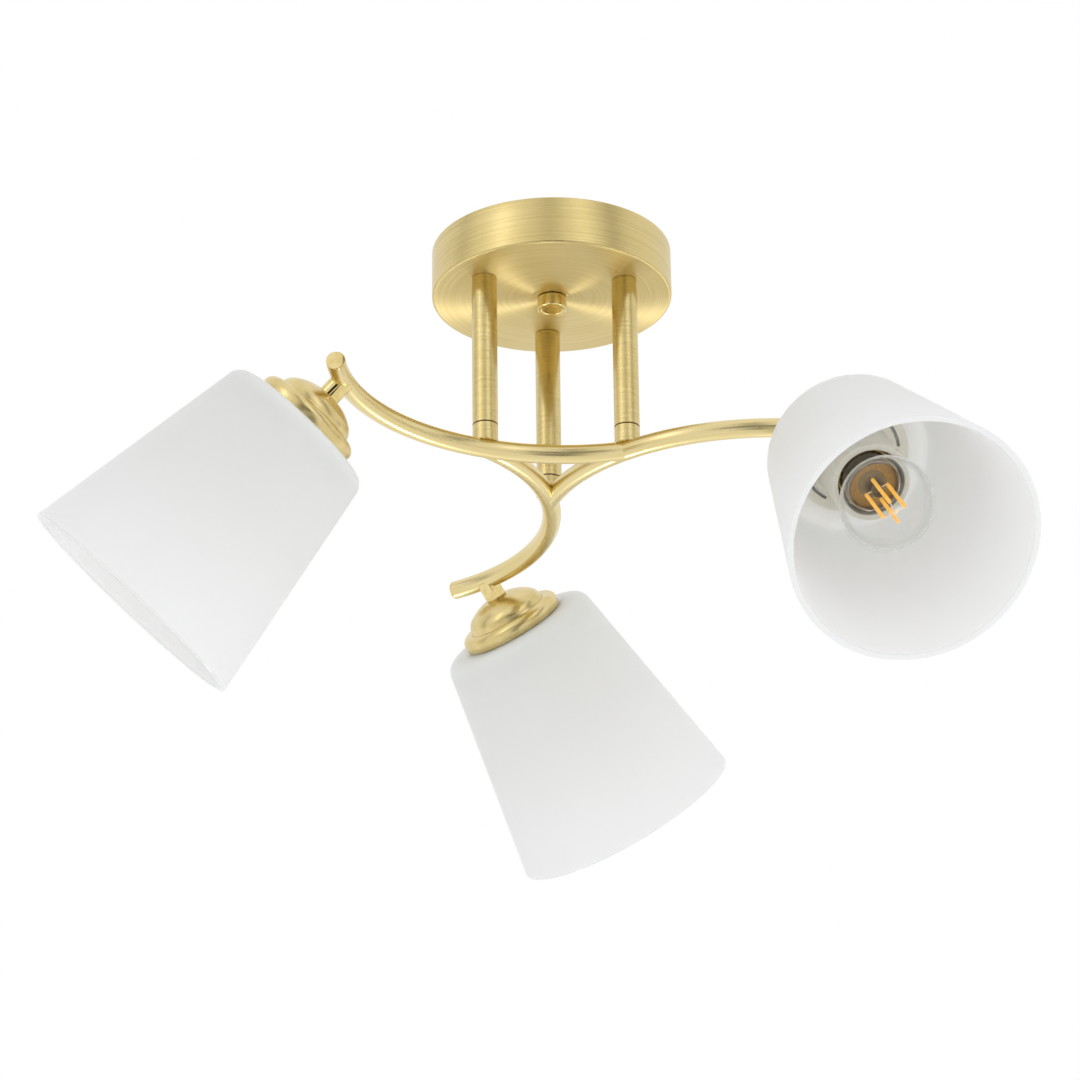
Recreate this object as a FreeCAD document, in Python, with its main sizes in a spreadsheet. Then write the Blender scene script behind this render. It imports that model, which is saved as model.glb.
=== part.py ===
"""Semi flush ceiling light: a round canopy, three posts, three curved arms set like a pinwheel and three
tilted heads, each with a spun cup, a screw lampholder, a tapered opal glass shade and a clear filament bulb.

Frame: millimetres, +Z up, origin at the centre of the ceiling face. Each arm is drawn for a post on +X and
then turned about Z to its place. Each head is drawn along its own +Z, which runs from the arm's centre line
out through the shade, and is then tilted and carried to its arm.
"""
import FreeCAD, Part
import math
import os
import re
import Sketcher
from FreeCAD import Vector

SIZES = [
    # canopy and the steel strap that it hangs from
    ("canopy_radius", "60"), ("canopy_depth", "25"), ("canopy_wall", "1.2"), ("canopy_edge_round", "1.2"),
    ("strap_length", "102"), ("strap_width", "20"), ("strap_wall", "2"), ("slot_spacing", "76"),
    ("slot_length", "14"), ("slot_radius", "2.5"), ("earth_hole_x", "-24"), ("stud_radius", "3"),
    ("stud_hole_gap", "0.3"), ("lock_nut_flats", "10"), ("lock_nut_height", "5"),
    ("cap_nut_radius", "7.3"), ("cap_nut_height", "6.3"), ("cap_nut_roof", "2"), ("cap_nut_dish", "0.6"),
    ("cap_nut_rim", "1.5"), ("cap_nut_round", "0.5"),
    ("thread_gap", "0.05"), ("seat_gap", "0.3"), ("screw_radius", "2"),
    ("screw_head_radius", "3.4"), ("screw_head_height", "2.4"), ("slot_cut_width", "1"),
    ("slot_cut_depth", "1.1"),
    # terminal block under the strap
    ("block_x", "24"), ("block_length", "28"), ("block_width", "16"), ("block_height", "11"),
    ("pole_pitch", "8"), ("well_inset", "2.2"), ("screw_sink", "1"), ("wire_way_depth", "4.5"),
    ("pole_screw_radius", "1.6"), ("wire_hole_radius", "1.5"),
    # posts between canopy and arms
    ("post_circle_radius", "40.2"), ("post_radius", "6.25"), ("post_wall", "1"), ("post_length", "81.2"),
    ("edge_break", "0.25"), ("post_bottom_plug", "12"), ("nipple_radius", "5"), ("nipple_bore", "3.6"),
    ("nipple_in_post", "14"), ("nipple_in_canopy", "8"), ("post_nut_flats", "14"),
    ("post_nut_height", "4"),
    # arms: one round tube each, bent to a single flat arc
    ("arm_drop", "12.3"), ("arm_radius", "4.7"), ("arm_wall", "1"), ("arm_bend_radius", "110.3"),
    ("arm_swing", "78.6"), ("arm_end_angle", "-36.5"), ("head_angle", "-47"), ("saddle_wrap", "1.8"),
    ("end_cap_thickness", "1.2"), ("end_spigot_length", "4"), ("slide_gap", "0.1"),
    ("wire_way_radius", "2.6"),
    # head: stub, cup and lampholder, as distances along the head from the arm's centre line
    ("head_tilt", "45"), ("stub_radius", "5.5"), ("stub_end", "11"), ("cup_wall", "0.9"),
    ("cup_top_radius", "8.5"), ("cup_knee_radius", "17"), ("cup_knee_drop", "3.9"),
    ("cup_slope_arc", "25.3"), ("cup_shoulder_arc", "7.8"), ("cup_dome_radius", "20.7"),
    ("cup_dome_drop", "9.8"), ("cup_step_width", "0.4"), ("cup_step_drop", "10.7"),
    ("cup_flange_radius", "27.3"), ("cup_flange_drop", "14.6"), ("cup_height", "18.2"),
    ("cup_rim_tuck", "0.4"), ("head_nipple_radius", "4"), ("head_nipple_bore", "2.6"),
    ("head_nipple_in_stub", "4"), ("head_nut_flats", "12"), ("head_nut_height", "3"),
    ("holder_top_radius", "16.5"), ("holder_top_round", "3"), ("holder_skirt_radius", "19.3"),
    ("holder_skirt_start", "18.4"), ("holder_length", "57"), ("holder_thread_depth", "3"),
    ("holder_play", "0.2"), ("holder_bore", "16.2"), ("holder_lip_round", "1"),
    ("holder_bore_depth", "27"), ("screw_shell_bore", "13.5"), ("screw_shell_wall", "0.6"),
    ("screw_shell_length", "20"), ("shell_lip", "1.2"), ("shell_floor_width", "2"), ("tongue_width", "5"),
    ("tongue_wall", "0.5"), ("tongue_rise", "2.2"), ("tongue_inset", "4"),
    # shade ring with its four slots
    ("ring_radius", "28.5"), ("ring_wall", "2.2"), ("ring_collar_radius", "21.6"),
    ("ring_collar_height", "8"), ("ring_slot_radius", "23.8"), ("ring_slot_width", "1.6"),
    ("ring_slot_angle", "54"), ("ring_slots", "4"), ("ring_slot_turn", "-45"),
    # shade: a frustum with a flat top, a rounded shoulder and an open mouth
    ("shade_seat_gap", "0.2"), ("shade_top_radius", "40.4"), ("shade_mouth_radius", "60.4"),
    ("shade_height", "117.3"), ("shade_wall", "3"), ("shade_shoulder_round", "7"),
    ("shade_hole_radius", "20.6"), ("shade_lip_round", "1.2"),
    # golf ball bulb on a 27 mm screw cap
    ("globe_radius", "22.5"), ("globe_centre", "99"), ("globe_wall", "0.7"), ("neck_join_angle", "42"),
    ("neck_start", "77.5"), ("neck_in_cap", "3"), ("bulb_cap_radius", "13.25"), ("bulb_cap_rim", "75.6"),
    ("bulb_cap_length", "24"), ("bulb_cap_wall", "0.4"), ("bulb_thread_depth", "0.9"),
    ("bulb_thread_turns", "4"), ("bulb_thread_pitch", "3.63"), ("bulb_skirt_length", "6"),
    ("skirt_step_low", "0.5"), ("skirt_step_high", "1.5"), ("button_radius", "4.8"),
    ("button_round", "0.5"), ("button_height", "1.6"), ("insulator_drop", "2.2"), ("insulator_inset", "1"),
    ("insulator_seat", "1"), ("insulator_gap", "0.05"), ("stem_radius", "2.6"), ("stem_top", "86"),
    ("stem_foot_drop", "2"), ("stem_foot_height", "0.8"), ("stem_flare_height", "5"),
    ("stem_tip_round", "1"), ("filament_radius", "0.95"), ("filament_start", "81.5"),
    ("filament_end", "110.5"), ("filament_circle", "5.6"), ("filament_turn", "35"),
    ("wire_radius", "0.25"), ("hub_radius", "1.3"), ("hub_height", "1.6"), ("hub_lift", "0.6"),
    ("top_spoke_lift", "1.2"), ("foot_spoke_drop", "0.8"), ("lead_length", "2"), ("lead_drop", "1.3"),
    ("lead_sink", "0.3"),
]

DERIVED = [
    # the arms' level follows the posts, with the ferrules' room between
    ("arm_level", "=canopy_depth + post_length + arm_drop"),
    # arc centre of an arm, and where its centre line runs into the next arm round
    ("arc_x", "=post_circle_radius + arm_bend_radius * cos(arm_swing)"),
    ("arc_y", "=arm_bend_radius * sin(arm_swing)"),
    ("arc_reach", "=sqrt(arc_x * arc_x + arc_y * arc_y)"),
    ("meet_reach", "=arc_reach / 2 - sqrt(arm_bend_radius * arm_bend_radius - 0.75 * arc_reach * arc_reach)"),
    ("meet_bearing", "=atan2(arc_y; arc_x) / 1 deg + 60"),
    ("arm_start_angle", "=atan2(meet_reach * sin(meet_bearing) - arc_y; "
                        "meet_reach * cos(meet_bearing) - arc_x) / 1 deg"),
    ("arm_sweep", "=arm_end_angle - arm_start_angle"),
    # stations along a head
    ("cup_end", "=stub_end + cup_height"), ("shade_seat", "=cup_end + shade_seat_gap"),
    ("shade_inner_seat", "=shade_seat + shade_wall"), ("ring_seat", "=shade_inner_seat + seat_gap"),
    ("holder_start", "=stub_end + cup_wall + head_nut_height + holder_play"),
    ("holder_mouth", "=holder_start + holder_length"),
    ("holder_floor", "=holder_mouth - holder_bore_depth"),
    ("bulb_cap_end", "=bulb_cap_rim - bulb_cap_length"),
    ("button_end", "=bulb_cap_end - insulator_drop - button_height"),
    ("neck_radius", "=bulb_cap_radius - bulb_cap_wall - slide_gap"),
    ("stem_foot_radius", "=neck_radius - globe_wall - slide_gap"),
    ("shade_slope", "=(shade_mouth_radius - shade_top_radius) / shade_height"),
    ("shade_lean", "=atan(shade_slope) / 1 deg"),
]

# where the three arms stand round the canopy
SPOTS = {"right": -30, "rear": 90, "left": 210}

doc = FreeCAD.newDocument("CeilingLight")
sheet = doc.addObject("Spreadsheet::Sheet", "Sizes")
for row, (alias, value) in enumerate(SIZES + DERIVED, start=1):
    sheet.set(f"A{row}", alias)
    sheet.set(f"B{row}", value)
    sheet.setAlias(f"B{row}", alias)
doc.recompute()
NAMES = {alias for alias, value in SIZES + DERIVED}
subparts = []


def bound(text):
    """An expression on the sheet's sizes, as a document expression."""
    return re.sub(r"[a-z_]+", lambda word: f"Sizes.{word[0]}" if word[0] in NAMES else word[0], str(text))


def size(text):
    """The number that an expression on the sheet's sizes gives now."""
    return float(sheet.evalExpression(bound(text)))


def bind(thing, **settings):
    for prop, text in settings.items():
        thing.setExpression(prop, bound(text))
    return thing


def keep(thing, label):
    thing.Label = label
    subparts.append(thing)
    return thing


def turn(angle):
    """A turn about the light's upright axis."""
    return f"placement(vector(0; 0; 0); rotation(vector(0; 0; 1); {angle}))"


def on_arm(spot, angle, spin):
    """Carries a piece to a point of an arm's centre line; spin is the rotation that the piece gets there."""
    point = (f"vector(arc_x + arm_bend_radius * cos({angle}); arc_y + arm_bend_radius * sin({angle}); "
             "-arm_level)")
    return f"{turn(SPOTS[spot])} * placement({point}; rotation(vector(0; 0; 1); {spin[0]}) * {spin[1]})"


def in_head(spot):
    """Carries a piece drawn along +Z to its head: tilted out from the arm's bend, square to the arm."""
    return on_arm(spot, "head_angle", ("head_angle", "rotation(vector(0; 1; 0); 180 - head_tilt)"))


# ---------------------------------------------------------------- ways of making a piece

def outline(body, plane, corners, name="Outline"):
    """A closed sketch through corners (x, y), each tied to the sheet. A corner with a third value is
    reached by an arc of that radius; a fourth value of -1 bends the arc clockwise."""
    origin_plane = next(p for p in body.Origin.OriginFeatures if p.Role == plane)
    sketch = body.newObject("Sketcher::SketchObject", name)
    sketch.AttachmentSupport = [(origin_plane, "")]
    sketch.MapMode = "FlatFace"
    points = [Vector(size(c[0]), size(c[1]), 0) for c in corners]
    ends = []
    radii = []
    for i, start in enumerate(points):
        target = corners[(i + 1) % len(corners)]
        stop = points[(i + 1) % len(points)]
        if len(target) == 2:
            edge = sketch.addGeometry(Part.LineSegment(start, stop))
            ends.append((edge, 1, 2))
            continue
        way = target[3] if len(target) > 3 else 1
        first, last = (start, stop) if way > 0 else (stop, start)
        radius = size(target[2])
        chord = last - first
        rise = math.sqrt(max(radius ** 2 - chord.Length ** 2 / 4, 0))
        centre = (first + last) / 2 + Vector(-chord.y, chord.x, 0).normalize() * rise
        angles = [math.atan2(p.y - centre.y, p.x - centre.x) for p in (first, last)]
        circle = Part.Circle(centre, Vector(0, 0, 1), radius)
        edge = sketch.addGeometry(Part.ArcOfCircle(circle, angles[0], angles[1]))
        ends.append((edge, 1, 2) if way > 0 else (edge, 2, 1))
        radii.append((edge, target[2]))
    for i, corner in enumerate(corners):
        edge, start, stop = ends[i]
        following = ends[(i + 1) % len(ends)]
        sketch.addConstraint(Sketcher.Constraint("Coincident", edge, stop, following[0], following[1]))
        for kind, axis, text, value in (("DistanceX", -2, corner[0], points[i].x),
                                        ("DistanceY", -1, corner[1], points[i].y)):
            if text == "0":
                sketch.addConstraint(Sketcher.Constraint("PointOnObject", edge, start, axis))
                continue
            number = sketch.addConstraint(Sketcher.Constraint(kind, -1, 1, edge, start, value))
            sketch.setExpression(f"Constraints[{number}]", bound(text))
    for edge, text in radii:
        number = sketch.addConstraint(Sketcher.Constraint("Radius", edge, size(text)))
        sketch.setExpression(f"Constraints[{number}]", bound(text))
    return sketch


def circles(body, plane, rounds, name="Circles"):
    """A sketch of circles (x, y, radius), each tied to the sheet."""
    origin_plane = next(p for p in body.Origin.OriginFeatures if p.Role == plane)
    sketch = body.newObject("Sketcher::SketchObject", name)
    sketch.AttachmentSupport = [(origin_plane, "")]
    sketch.MapMode = "FlatFace"
    for x, y, radius in rounds:
        middle = Vector(size(x), size(y), 0)
        edge = sketch.addGeometry(Part.Circle(middle, Vector(0, 0, 1), size(radius)))
        for kind, axis, text, value in (("DistanceX", -2, x, middle.x), ("DistanceY", -1, y, middle.y)):
            if text == "0":
                sketch.addConstraint(Sketcher.Constraint("PointOnObject", edge, 3, axis))
                continue
            number = sketch.addConstraint(Sketcher.Constraint(kind, -1, 1, edge, 3, value))
            sketch.setExpression(f"Constraints[{number}]", bound(text))
        number = sketch.addConstraint(Sketcher.Constraint("Radius", edge, size(radius)))
        sketch.setExpression(f"Constraints[{number}]", bound(radius))
    return sketch


def turned(label, corners, place=None):
    """A piece spun or turned about its own +Z: corners are (radius, height)."""
    body = keep(doc.addObject("PartDesign::Body", label), label)
    sketch = outline(body, "XZ_Plane", corners)
    spin = body.newObject("PartDesign::Revolution", "Turned")
    spin.Profile = sketch
    spin.ReferenceAxis = (sketch, ["V_Axis"])
    spin.Angle = 360
    if place:
        bind(body, Placement=place)
    return body


def padded(label, sketch_of, depth, place=None):
    """A piece cut from sheet or bar: its sketch lies on XY and is padded upwards."""
    body = keep(doc.addObject("PartDesign::Body", label), label)
    pad = body.newObject("PartDesign::Pad", "Padded")
    pad.Profile = sketch_of(body)
    bind(pad, Length=depth)
    if place:
        bind(body, Placement=place)
    return body


def pocketed(body, sketch, depth, upwards=True):
    """A pocket from a sketch on XY, towards +Z when upwards. The caller sees that it cuts."""
    doc.recompute()
    before = body.Shape.Volume
    pocket = body.newObject("PartDesign::Pocket", "Pocket")
    pocket.Profile = sketch
    pocket.Reversed = upwards
    bind(pocket, Length=depth)
    doc.recompute()
    if not body.Shape.Volume < before:
        raise RuntimeError(f"pocket in {body.Label} cuts nothing")
    return pocket


def solid(kind, place=None, **settings):
    thing = bind(doc.addObject(f"Part::{kind}", kind), **settings)
    if place:
        bind(thing, Placement=place)
    return thing


def joined(things):
    if len(things) == 1:
        return things[0]
    fuse = doc.addObject("Part::MultiFuse", "Joined")
    fuse.Shapes = things
    return fuse


def cut(base, tools):
    thing = doc.addObject("Part::Cut", "Cut")
    thing.Base = base
    thing.Tool = joined(tools)
    return thing


def group(label, things):
    """Like pieces that share one name, each a solid of its own."""
    compound = doc.addObject("Part::Compound", label)
    compound.Links = things
    return keep(compound, label)


def at(x="0", y="0", z="0"):
    return f"placement(vector({x}; {y}; {z}); rotation(vector(0; 0; 1); 0))"


def hex_nut(place, flats, height, bore):
    """A hexagon nut that stands up from its place."""
    block = solid("Prism", place, Circumradius=f"{flats} / sqrt(3)", Height=height)
    hole = solid("Cylinder", place, Radius=bore, Height=height)
    return cut(block, [hole])


def arm_bar(spot, radius):
    """A full round bar along the centre line of the arm at spot."""
    place = f"{turn(SPOTS[spot])} * placement(vector(arc_x; arc_y; -arm_level); rotation(vector(0; 0; 1); " \
            "arm_start_angle))"
    return solid("Torus", place, Radius1="arm_bend_radius", Radius2=radius, Angle3="arm_sweep")


# ---------------------------------------------------------------- canopy and what it hides

def ceiling_bracket():
    """Steel strap, flat against the ceiling, with two slots for the fixing screws."""
    def plate(body):
        half, side = "strap_length / 2", "strap_width / 2"
        return outline(body, "XY_Plane", [(f"-{half}", f"-{side}"), (half, f"-{side}"), (half, side),
                                          (f"-{half}", side)])
    body = padded("ceiling_bracket", plate, "strap_wall", at(z="-strap_wall"))
    holes = circles(body, "XY_Plane", [("0", "0", "stud_radius"), ("earth_hole_x", "0", "screw_radius"),
                                       ("block_x", "0", "screw_radius")])
    pocketed(body, holes, "strap_wall")
    for side in (-1, 1):
        middle = f"{side} * slot_spacing / 2"
        inner = f"{middle} - (slot_length / 2 - slot_radius)"
        outer = f"{middle} + (slot_length / 2 - slot_radius)"
        slot = outline(body, "XY_Plane", [
            (inner, "-slot_radius", "slot_radius"), (outer, "-slot_radius"),
            (f"{outer} + slot_radius", "0", "slot_radius"), (outer, "slot_radius", "slot_radius"),
            (inner, "slot_radius"), (f"{inner} - slot_radius", "0", "slot_radius")], "Slot")
        pocketed(body, slot, "strap_wall")


def centre_stud():
    """Threaded stud, riveted flush in the strap; the canopy's cap nut runs on its lower end."""
    turned("centre_stud", [("0", "-canopy_depth - cap_nut_height + cap_nut_roof + seat_gap"),
                           ("stud_radius", "-canopy_depth - cap_nut_height + cap_nut_roof + seat_gap"),
                           ("stud_radius", "0"), ("0", "0")])


def canopy():
    """Spun cup, open to the ceiling, with a hole for the stud and one for each post."""
    rim, floor = "canopy_radius", "-canopy_depth"
    inner, inner_floor = "canopy_radius - canopy_wall", "canopy_wall - canopy_depth"
    body = turned("canopy", [("0", floor), (f"{rim} - canopy_edge_round", floor),
                             (rim, f"{floor} + canopy_edge_round", "canopy_edge_round"), (rim, "0"),
                             (inner, "0"), (inner, inner_floor), ("0", inner_floor)])
    stud_hole = circles(body, "XY_Plane", [("0", "0", "stud_radius + stud_hole_gap")])
    pocketed(body, stud_hole, "canopy_depth * 2", upwards=False)
    post_hole = circles(body, "XY_Plane", [("post_circle_radius * cos(30)", "-post_circle_radius * sin(30)",
                                            "nipple_radius + slide_gap")])
    pocket = pocketed(body, post_hole, "canopy_depth * 2", upwards=False)
    holes = body.newObject("PartDesign::PolarPattern", "PostHoles")
    holes.Originals = [pocket]
    holes.Axis = (post_hole, ["N_Axis"])
    holes.Angle = 360
    holes.Occurrences = len(SPOTS)
    body.Tip = holes


def cap_nut():
    """Polished blind nut under the canopy's centre, with a shallow dish in its face."""
    top, bottom = "-canopy_depth - seat_gap", "-canopy_depth - seat_gap - cap_nut_height"
    dish, roof = f"{bottom} + cap_nut_dish", f"{bottom} + cap_nut_roof"
    turned("cap_nut", [("0", dish), ("cap_nut_radius - cap_nut_rim - cap_nut_dish", dish),
                       ("cap_nut_radius - cap_nut_rim", bottom), ("cap_nut_radius - cap_nut_round", bottom),
                       ("cap_nut_radius", f"{bottom} + cap_nut_round", "cap_nut_round"),
                       ("cap_nut_radius", f"{top} - edge_break"),
                       ("cap_nut_radius - edge_break", top), ("stud_radius + thread_gap", top),
                       ("stud_radius + thread_gap", roof), ("0", roof)])


def slotted_screw(x, y, top, head_down=True):
    """A cheese head screw whose thread goes up into the strap; its head hangs below top."""
    shank = solid("Cylinder", at(x, y, top), Radius="screw_radius - slide_gap", Height=f"-({top})")
    head = solid("Cylinder", at(x, y, f"{top} - screw_head_height"), Radius="screw_head_radius",
                 Height="screw_head_height")
    corner = at(f"{x} - screw_head_radius", f"{y} - slot_cut_width / 2", f"{top} - screw_head_height")
    slot = solid("Box", corner, Length="screw_head_radius * 2", Width="slot_cut_width",
                 Height="slot_cut_depth")
    return cut(joined([shank, head]), [slot])


def terminal_block():
    """Three pole connector under the strap: two rows of screw wells and a wire way through each pole."""
    low = "-strap_wall - block_height"
    block = solid("Box", at("block_x - block_length / 2", "-block_width / 2", low),
                  Length="block_length", Width="block_width", Height="block_height")
    tools = [solid("Cylinder", at("block_x", "0", low), Radius="screw_radius", Height="block_height"),
             solid("Cylinder", at("block_x", "0", low), Radius="screw_head_radius + slide_gap",
                   Height="screw_head_height + screw_sink")]
    screws = []
    for pole in (-1, 0, 1):
        x = f"block_x + {pole} * pole_pitch"
        for row in (-1, 1):
            y = f"{row} * (block_width / 2 - well_inset)"
            well = at(x, y, low)
            screws.append(solid("Cylinder", at(x, y, f"{low} + screw_sink"), Radius="pole_screw_radius",
                                Height="block_height / 2 - screw_sink"))
            tools.append(solid("Cylinder", well, Radius="pole_screw_radius + slide_gap",
                               Height="block_height / 2"))
            way = (f"placement(vector({x}; {row} * block_width / 2; {low} + block_height / 2); "
                   f"rotation(vector(1; 0; 0); {row} * 90))")
            tools.append(solid("Cylinder", way, Radius="wire_hole_radius", Height="wire_way_depth"))
    keep(cut(block, tools), "terminal_block")
    group("terminal_screws", screws)


def canopy_fasteners():
    """Lock nut on the stud, the earth screw, and the screw that holds the terminal block."""
    keep(hex_nut(at(z="-strap_wall - lock_nut_height"), "lock_nut_flats", "lock_nut_height", "stud_radius"),
         "stud_lock_nut")
    keep(slotted_screw("earth_hole_x", "0", "-strap_wall"), "earth_screw")
    block_seat = "-strap_wall - block_height + screw_head_height + screw_sink"
    keep(slotted_screw("block_x", "0", block_seat), "block_screw")


# ---------------------------------------------------------------- posts and arms

def meeting_arms():
    """Pairs of arms: the second one's inner end is notched onto the first."""
    order = list(SPOTS)
    return [(spot, order[number - 1]) for number, spot in enumerate(order)]


def at_post(spot, z):
    return f"{turn(SPOTS[spot])} * {at('post_circle_radius', '0', z)}"


def posts():
    """Three upright tubes, each on a threaded nipple and nut through the canopy."""
    nuts = []
    nipples = []
    for spot in SPOTS:
        bore = "post_radius - post_wall"
        turned(f"post_{spot}", [(bore, "-post_length"), ("post_radius - edge_break", "-post_length"),
                                ("post_radius", "-post_length + edge_break"), ("post_radius", "-edge_break"),
                                ("post_radius - edge_break", "0"), (bore, "0")],
               at_post(spot, "-canopy_depth"))
        top = "-canopy_depth + canopy_wall"
        nuts.append(hex_nut(at_post(spot, top), "post_nut_flats", "post_nut_height", "nipple_radius"))
        length = "nipple_in_post + nipple_in_canopy"
        low = "-canopy_depth - nipple_in_post"
        nipples.append(cut(solid("Cylinder", at_post(spot, low), Radius="nipple_radius", Height=length),
                           [solid("Cylinder", at_post(spot, low), Radius="nipple_bore", Height=length)]))
    group("post_nuts", nuts)
    group("post_nipples", nipples)


def ferrules():
    """A short sleeve below each post, with a plug up inside the post. It is notched to sit over its arm
    and over the next arm's end, which meets its arm beside it."""
    for spot, other in meeting_arms():
        low, seam = "-arm_level + arm_radius - saddle_wrap", "-canopy_depth - post_length"
        sleeve = solid("Cylinder", at_post(spot, low), Radius="post_radius", Height=f"{seam} - ({low})")
        plug = solid("Cylinder", at_post(spot, seam), Radius="post_radius - post_wall - slide_gap",
                     Height="post_bottom_plug")
        bore = solid("Cylinder", at_post(spot, low), Radius="nipple_bore",
                     Height=f"{seam} + post_bottom_plug - ({low})")
        arms_below = [arm_bar(spot, "arm_radius"), arm_bar(other, "arm_radius")]
        keep(cut(joined([sleeve, plug]), [bore] + arms_below), f"post_ferrule_{spot}")


def arms():
    """Each arm is one tube, bent to an arc. Its inner end is notched onto the next arm round; wire ways
    open into it under the post and at the head."""
    for other, spot in meeting_arms():
        drill = solid("Cylinder", at_post(spot, "-arm_level"), Radius="wire_way_radius",
                      Height="arm_radius * 2")
        outlet = solid("Cylinder", in_head(spot), Radius="wire_way_radius", Height="arm_radius * 2")
        tube = cut(arm_bar(spot, "arm_radius"),
                   [arm_bar(spot, "arm_radius - arm_wall"), arm_bar(other, "arm_radius"), drill, outlet])
        keep(tube, f"arm_{spot}")


def arm_end_caps():
    """Polished plug in the free end of each arm."""
    for spot in SPOTS:
        spigot = "arm_radius - arm_wall - slide_gap"
        turned(f"arm_end_cap_{spot}",
               [("0", "-end_spigot_length"), (spigot, "-end_spigot_length"), (spigot, "0"),
                ("arm_radius", "0"), ("arm_radius", "end_cap_thickness - edge_break"),
                ("arm_radius - edge_break", "end_cap_thickness"), ("0", "end_cap_thickness")],
               on_arm(spot, "arm_end_angle", ("arm_end_angle + 90", "rotation(vector(0; 1; 0); 90)")))


# ---------------------------------------------------------------- heads

def stubs():
    """Polished stub, notched onto the arm; the head's nipple screws into it."""
    for spot in SPOTS:
        bar = solid("Cylinder", in_head(spot), Radius="stub_radius", Height="stub_end")
        wire_way = solid("Cylinder", in_head(spot), Radius="head_nipple_bore", Height="stub_end")
        thread = solid("Cylinder", f"{in_head(spot)} * {at(z='stub_end - head_nipple_in_stub')}",
                       Radius="head_nipple_radius", Height="head_nipple_in_stub")
        keep(cut(bar, [wire_way, thread, arm_bar(spot, "arm_radius")]), f"head_stub_{spot}")


def cups():
    """Spun cup over the lampholder's top: a small flat, a dome, a step and a rounded flange."""
    skin, top = "cup_wall", "stub_end"
    knee, dome, step = f"{top} + cup_knee_drop", f"{top} + cup_dome_drop", f"{top} + cup_step_drop"
    brim, end = f"{top} + cup_flange_drop", f"{top} + cup_height"
    foot = "cup_dome_radius + cup_step_width"
    run, drop = f"(cup_flange_radius - ({foot}))", "(cup_flange_drop - cup_step_drop)"
    brim_arc = f"({run} * {run} + {drop} * {drop}) / (2 * {run})"
    inner_drop = f"({drop} - {skin})"
    inner_arc = f"({run} * {run} + {inner_drop} * {inner_drop}) / (2 * {run})"
    for spot in SPOTS:
        turned(f"shade_cup_{spot}", [
            ("head_nipple_radius + slide_gap", top), ("cup_top_radius", top),
            ("cup_knee_radius", knee, "cup_slope_arc"), ("cup_dome_radius", dome, "cup_shoulder_arc"),
            (foot, step), ("cup_flange_radius", brim, brim_arc), ("cup_flange_radius - cup_rim_tuck", end),
            (f"cup_flange_radius - cup_rim_tuck - {skin}", end), (f"cup_flange_radius - {skin}", brim),
            (f"{foot} - {skin}", f"{step} + {skin}", inner_arc, -1), (f"cup_dome_radius - {skin}", dome),
            (f"cup_knee_radius - 0.6 * {skin}", f"{knee} + 0.8 * {skin}", f"cup_shoulder_arc - {skin}", -1),
            ("cup_top_radius", f"{top} + {skin}", f"cup_slope_arc - {skin}", -1),
            ("head_nipple_radius + slide_gap", f"{top} + {skin}")], in_head(spot))


def head_fasteners():
    """Hollow nipple from stub to lampholder, and the nut that clamps the cup on it."""
    nipples = []
    nuts = []
    for spot in SPOTS:
        start = f"{in_head(spot)} * {at(z='stub_end - head_nipple_in_stub')}"
        length = "holder_start + holder_thread_depth - stub_end + head_nipple_in_stub"
        nipples.append(cut(solid("Cylinder", start, Radius="head_nipple_radius", Height=length),
                           [solid("Cylinder", start, Radius="head_nipple_bore", Height=length)]))
        nuts.append(hex_nut(f"{in_head(spot)} * {at(z='stub_end + cup_wall')}", "head_nut_flats",
                            "head_nut_height", "head_nipple_radius"))
    group("head_nipples", nipples)
    group("head_nuts", nuts)


def lampholders():
    """Moulded screw lampholder: a domed top in the cup, a threaded skirt through the shade, an open mouth."""
    skirt = "holder_start + holder_skirt_start"
    for spot in SPOTS:
        turned(f"lampholder_{spot}", [
            ("head_nipple_radius", "holder_start"), ("holder_top_radius - holder_top_round", "holder_start"),
            ("holder_top_radius", "holder_start + holder_top_round", "holder_top_round"),
            ("holder_top_radius", f"{skirt} - holder_skirt_radius + holder_top_radius"),
            ("holder_skirt_radius", skirt), ("holder_skirt_radius", "holder_mouth - holder_lip_round"),
            ("holder_skirt_radius - holder_lip_round", "holder_mouth", "holder_lip_round"),
            ("holder_bore", "holder_mouth"), ("holder_bore", "holder_floor"),
            ("head_nipple_bore", "holder_floor"), ("head_nipple_bore", "holder_start + holder_thread_depth"),
            ("head_nipple_radius", "holder_start + holder_thread_depth")], in_head(spot))


def holder_contacts():
    """Brass screw shell inside each lampholder, and the spring tongue that meets the bulb's button."""
    for spot in SPOTS:
        outer = "screw_shell_bore + screw_shell_wall"
        lip = f"{outer} + shell_lip"
        step, end = "holder_floor + screw_shell_wall", "holder_floor + screw_shell_length"
        turned(f"screw_shell_{spot}", [
            ("screw_shell_bore - shell_floor_width", "holder_floor"), (lip, "holder_floor"),
            (lip, step), (outer, step), (outer, end),
            ("screw_shell_bore", end), ("screw_shell_bore", step),
            ("screw_shell_bore - shell_floor_width", step)], in_head(spot))
    tongues = []
    for spot in SPOTS:
        start = at("tongue_inset - screw_shell_bore", "-tongue_width / 2", "holder_floor")
        foot = solid("Box", f"{in_head(spot)} * {start}", Width="tongue_width", Height="tongue_wall",
                     Length="screw_shell_bore - tongue_inset + tongue_width / 2")
        bend = f"{in_head(spot)} * {at('tongue_width / 2', '-tongue_width / 2', 'holder_floor')}"
        riser = solid("Box", bend, Length="tongue_wall", Width="tongue_width", Height="tongue_rise")
        end = at("-tongue_width / 2", "-tongue_width / 2", "holder_floor + tongue_rise - tongue_wall")
        tip = solid("Box", f"{in_head(spot)} * {end}", Length="tongue_width", Width="tongue_width",
                    Height="tongue_wall")
        tongues.append(joined([foot, riser, tip]))
    group("contact_tongues", tongues)


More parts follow.
